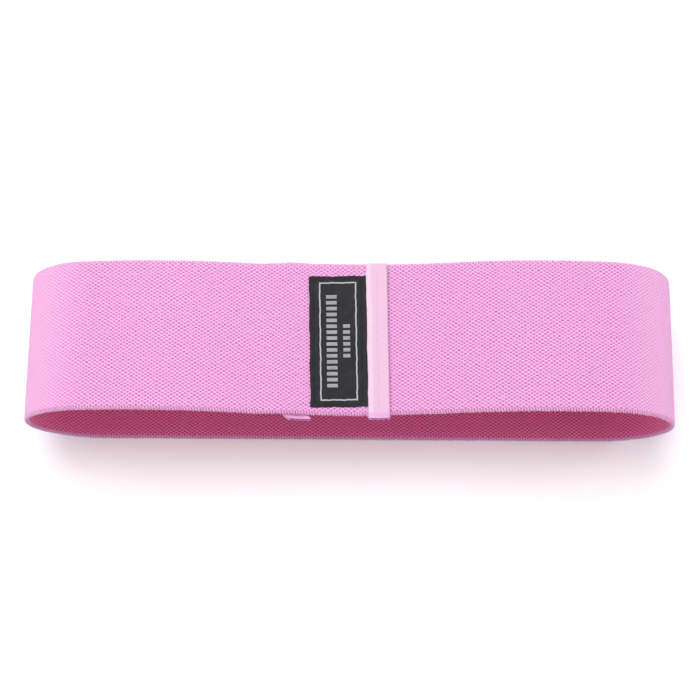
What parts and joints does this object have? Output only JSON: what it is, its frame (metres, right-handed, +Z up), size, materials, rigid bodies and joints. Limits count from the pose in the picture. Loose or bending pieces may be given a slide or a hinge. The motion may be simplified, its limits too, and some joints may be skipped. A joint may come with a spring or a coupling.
{
  "type": "resistance band",
  "caption": "Looped fabric resistance band of pink woven elastic, closed by a lap joint with bound ends, two sewn seams and a sewn-on dark label.",
  "frame": {"origin": "on the floor, under the middle of the band as it lies on its lower wall", "axes": "+X along the loop's length, +Y across the webbing, away from the viewer, +Z up from the lower wall to the upper wall that carries the label"},
  "size_m": [0.3554, 0.083, 0.0814],
  "materials": {
    "webbing": "ribbed woven elastic, light pink yarn over darker pink",
    "rubber": "matt natural latex, dusted",
    "binding": "fine ribbed pale pink tape",
    "seam_thread": "twisted polyester thread, slight sheen",
    "label": "fine satin-woven black label",
    "label_white": "white figure yarn, slight sheen",
    "label_thread": "twisted black polyester thread"
  },
  "bodies": {
    "root": {"webbing": "webbing", "rubber_threads": "rubber", "outer_binding": "binding", "inner_binding": "binding", "outer_seam_needle_thread": "seam_thread", "outer_seam_bobbin_thread": "seam_thread", "inner_seam_needle_thread": "seam_thread", "inner_seam_bobbin_thread": "seam_thread", "label": "label", "label_border": "label_white", "label_marks": "label_white", "label_needle_thread": "label_thread", "label_bobbin_thread": "label_thread"}
  },
  "joints": []
}
